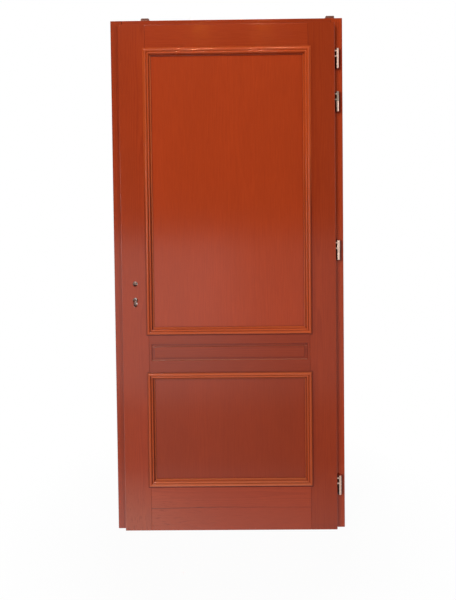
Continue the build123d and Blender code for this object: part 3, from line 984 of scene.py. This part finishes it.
def floorMaterial():
    look = floorLook
    material, tree, shader = newMaterial("paleFloor")
    coords = ownCoords(tree)
    axes = axesOf(tree, coords)
    patches = noiseOf(tree, coords, look["patchScale"])
    tone = remap(tree, patches, noiseRange, around(look["colour"], look["colourSpread"]))
    tree.links.new(greyOf(tree, tone), shader.inputs["Base Color"])
    shader.inputs["Roughness"].default_value = look["roughness"]
    shader.inputs["Specular IOR Level"].default_value = look["specular"]

    fromDoor = vectorMathOf(tree, "DISTANCE", coords, look["doorMiddle"], result="Value")
    ownWhite = remap(tree, fromDoor, look["fade"], (look["shareAtDoor"], 1.0))
    forward = mathOf(tree, "ABSOLUTE", axes["Y"])
    intoGrey = around(look["greyFrom"], look["edgeSoftness"])
    nearPart = remap(tree, forward, intoGrey, (look["glossNear"], look["glossGrey"]))
    outOfGrey = around(look["greyTo"], look["edgeSoftness"])
    farPart = remap(tree, forward, outOfGrey, (0.0, look["glossFar"] - look["glossGrey"]))
    sideShare = remap(tree, axes["X"], look["across"], look["glossSides"])
    glossTone = product(tree, mathOf(tree, "ADD", nearPart, farPart), sideShare)

    lightPath = place(tree, "ShaderNodeLightPath").outputs
    whiteGlow = place(tree, "ShaderNodeEmission", {"Strength": look["white"]}).outputs["Emission"]
    glossGlow = place(tree, "ShaderNodeEmission", {"Strength": glossTone}).outputs["Emission"]
    cameraShare = product(tree, lightPath["Is Camera Ray"], ownWhite)
    plain = blendShader(tree, cameraShare, shader.outputs["BSDF"], whiteGlow)
    mirrored = mathOf(tree, "MAXIMUM", lightPath["Is Glossy Ray"], lightPath["Is Transmission Ray"])
    showInstead(tree, blendShader(tree, mirrored, plain, glossGlow))
    return material


def buildFloor():
    half = floorLook["size"] / 2
    corners = [(-half, -half, 0), (half, -half, 0), (half, half, 0), (-half, half, 0)]
    mesh = bpy.data.meshes.new("floor")
    mesh.from_pydata(corners, [], [(0, 1, 2, 3)])
    mesh.materials.append(floorMaterial())
    addObject("floor", mesh)


buildFloor()


# A dark card close behind the lock's holes: painted shade for the dark room behind them, with a painted lit
# strip and glowing bands that the metal edges in the holes mirror as painted glints. It shows from the front
# alone.

holeCard = {
    "width": 0.060,
    "above": 0.035,
    "below": 0.125,
    "behind": 0.003,
    "clearWithin": 0.012,  # so that the leaf's own back doesn't mirror the card
    "dark": (0.100, 0.036, 0.018),
    "lit": (0.400, 0.250, 0.210),
    "litAcross": (-0.0105, -0.0085),  # from the middle of the holes
    "blackUntil": (0.042, 0.046),  # down from the spindle
    "glint": (1.80, 1.30, 1.05),
    "glintAcross": (0.003, 0.005),
    "glintBands": ((0.000, 0.010), (0.080, 0.089)),  # down from the spindle
    "glintSoft": 0.001,
}


def cardMaterial(centre):
    look = holeCard
    material, tree, shader = newMaterial("cardBlack")
    shader.inputs["Base Color"].default_value = (0, 0, 0, 1)
    shader.inputs["Specular IOR Level"].default_value = 0.0
    axes = axesOf(tree, ownCoords(tree))
    across = mathOf(tree, "SUBTRACT", axes["X"], centre.x)
    down = mathOf(tree, "SUBTRACT", centre.z, axes["Z"])
    litShare = remap(tree, across, look["litAcross"], falling)
    shown = blendColour(tree, litShare, look["dark"], look["lit"])
    seen = remap(tree, down, look["blackUntil"], rising)
    lightPath = place(tree, "ShaderNodeLightPath").outputs
    mirrored = mathOf(tree, "SUBTRACT", 1.0, lightPath["Is Camera Ray"])
    for highest, lowest in look["glintBands"]:  # only the metal edges in the holes mirror these
        away = awayFrom(tree, down, (highest + lowest) / 2)
        level = remap(tree, away, around((lowest - highest) / 2, look["glintSoft"]), falling)
        band = product(tree, level, remap(tree, across, look["glintAcross"], rising), mirrored)
        shown = blendColour(tree, band, shown, look["glint"])
        seen = mathOf(tree, "MAXIMUM", seen, band)
    tree.links.new(shown, shader.inputs["Emission Color"])
    tree.links.new(seen, shader.inputs["Emission Strength"])
    clear = place(tree, "ShaderNodeBsdfTransparent").outputs["BSDF"]
    backSide = place(tree, "ShaderNodeNewGeometry").outputs["Backfacing"]
    near = mathOf(tree, "LESS_THAN", lightPath["Ray Length"], look["clearWithin"])
    unseen = mathOf(tree, "MAXIMUM", backSide, product(tree, near, mirrored))
    showInstead(tree, blendShader(tree, unseen, shader.outputs["BSDF"], clear))
    return material


def buildCard():
    low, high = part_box("follower")
    centre = (low + high) / 2
    half = holeCard["width"] / 2
    left, right = centre.x - half, centre.x + half
    bottom, top = centre.z - holeCard["below"], centre.z + holeCard["above"]
    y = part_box("lock_stile")[1].y + holeCard["behind"]
    corners = [(left, y, bottom), (right, y, bottom), (right, y, top), (left, y, top)]
    mesh = bpy.data.meshes.new("holeCard")
    mesh.from_pydata(corners, [], [(0, 1, 2, 3)])
    mesh.materials.append(cardMaterial(centre))
    card = addObject("holeCard", mesh)
    card.visible_diffuse = False
    card.visible_shadow = False
    leaf = cadNodes["lock_stile"]
    card.parent = leaf
    card.matrix_parent_inverse = leaf.matrix_world.inverted()


buildCard()


# World: white to the camera, pale at the sides for the metals, dim straight in front of the door

worldLook = {
    "ambient": 0.15,
    "dim": 0.03,
    "right": 1.65,
    "rightFrom": (0.24, 0.44),
    "left": 0.10,
    "leftFrom": (-0.44, -0.24),
    "front": (-0.40, -0.05),
    "above": 0.80,
    "aboveFrom": (0.42, 0.62),
}


def buildWorld():
    look = worldLook
    world = bpy.data.worlds.new("studio")
    scene.world = world
    world.use_nodes = True
    tree = world.node_tree
    tree.nodes.clear()
    output = tree.nodes.new("ShaderNodeOutputWorld")
    lightPath = place(tree, "ShaderNodeLightPath").outputs
    axes = axesOf(tree, place(tree, "ShaderNodeTexCoord").outputs["Generated"])
    inFront = remap(tree, axes["Y"], look["front"], falling)
    toRight = remap(tree, axes["X"], look["rightFrom"], (look["dim"], look["right"]))
    toLeft = remap(tree, axes["X"], look["leftFrom"], (look["left"], look["dim"]))
    pale = product(tree, mathOf(tree, "MAXIMUM", toRight, toLeft), inFront)
    overhead = product(tree, remap(tree, axes["Z"], look["aboveFrom"], (0.0, look["above"])), inFront)
    gloss = mathOf(tree, "MAXIMUM", mathOf(tree, "MAXIMUM", pale, overhead), look["dim"])
    overAmbient = mathOf(tree, "SUBTRACT", gloss, look["ambient"])
    base = mathOf(tree, "MULTIPLY_ADD", lightPath["Is Glossy Ray"], overAmbient, look["ambient"])
    seen = mathOf(tree, "MAXIMUM", lightPath["Is Camera Ray"], lightPath["Is Transmission Ray"])
    unseen = mathOf(tree, "SUBTRACT", 1.0, seen)
    strength = mathOf(tree, "MULTIPLY_ADD", base, unseen, seen)
    background = place(tree, "ShaderNodeBackground", {"Color": (1, 1, 1, 1), "Strength": strength})
    tree.links.new(background.outputs["Background"], output.inputs["Surface"])


buildWorld()


# Lamps: a key and soft boxes for the light, and four small ones that only glint in the varnish

ceilingLamp = {"size": (0.05, 0.05), "colour": (1.0, 0.33, 0.03), "hiddenTo": "diffuse"}
crestLamp = {"size": (0.05, 0.05), "colour": (1.0, 0.50, 0.28), "hiddenTo": "diffuse", "spread": 24.0}
lamps = {
    "ceilingLeft": {**ceilingLamp, "at": (-0.68, -1.26, 2.54), "aim": (-0.60, 0.0, 1.60), "power": 0.10},
    "ceilingRight": {**ceilingLamp, "at": (-0.28, -1.26, 2.54), "aim": (-0.34, 0.0, 1.60), "power": 0.09},
    "crestLeft": {**crestLamp, "at": (-0.785, -1.26, 3.60), "aim": (-0.63, 0.0, 2.03), "power": 0.8},
    "crestRight": {**crestLamp, "at": (-0.24, -1.26, 3.60), "aim": (-0.34, 0.0, 2.03), "power": 0.9},
    "key": {"at": (-2.20, -3.60, 5.20), "aim": (-0.49, 0.0, 1.20), "size": (1.0, 1.0), "power": 112.0},
    "leftSoftbox": {
        "at": (-4.30, -5.20, 1.30), "aim": (-0.49, 0.0, 0.90), "size": (2.0, 2.2), "power": 85.0,
    },
    "rightSoftbox": {
        "at": (2.90, -5.20, 2.00), "aim": (-0.49, 0.0, 1.20), "size": (2.0, 2.6), "power": 85.0,
        "hiddenTo": "glossy",
    },
    "backFill": {"at": (-0.49, 3.40, 1.50), "aim": (-0.49, 0.0, 1.10), "size": (2.6, 1.6), "power": 50.0},
}
usualColour = (1.0, 1.0, 1.0)
usualSpread = 180.0


def addLamp(name, lamp):
    light = bpy.data.lights.new(name, "AREA")
    light.shape = "RECTANGLE"
    light.size, light.size_y = lamp["size"]
    light.energy = lamp["power"]
    light.color = lamp.get("colour", usualColour)
    light.spread = math.radians(lamp.get("spread", usualSpread))
    lightObject = addObject(name, light)
    lightObject.location = lamp["at"]
    lightObject.visible_camera = False
    if "hiddenTo" in lamp:
        setattr(lightObject, "visible_" + lamp["hiddenTo"], False)
    lightObject.rotation_mode = "QUATERNION"
    lightObject.rotation_quaternion = (Vector(lamp["aim"]) - Vector(lamp["at"])).to_track_quat("-Z", "Y")


for lampName, lamp in lamps.items():
    addLamp(lampName, lamp)
print("Floor, world and lamps set")


# Camera at the photographer's place, with its turns in degrees

shot = {
    "at": (-0.4517, -2.2535, 1.4074),
    "yaw": 0.458,
    "lookDown": 1.46,
    "roll": -0.634,
    "sensor": 36.0,
    "lens": 31.087,
    "shift": (-0.00924, -0.13799),
}


def buildCamera():
    data = bpy.data.cameras.new("camera")
    data.sensor_width = shot["sensor"]
    data.lens = shot["lens"]
    data.shift_x, data.shift_y = shot["shift"]
    camera = addObject("camera", data)
    yaw = Matrix.Rotation(math.radians(-shot["yaw"]), 3, "Z")
    pitch = Matrix.Rotation(math.radians(shot["lookDown"]), 3, "X")
    roll = Matrix.Rotation(math.radians(shot["roll"]), 3, "Y")
    right, forward, up = roll @ pitch @ yaw
    axes = Matrix((right, up, -forward)).transposed()
    camera.matrix_world = Matrix.Translation(shot["at"]) @ axes.to_4x4()
    scene.camera = camera


buildCamera()
scene.view_settings.view_transform = "Standard"
print("Camera set")
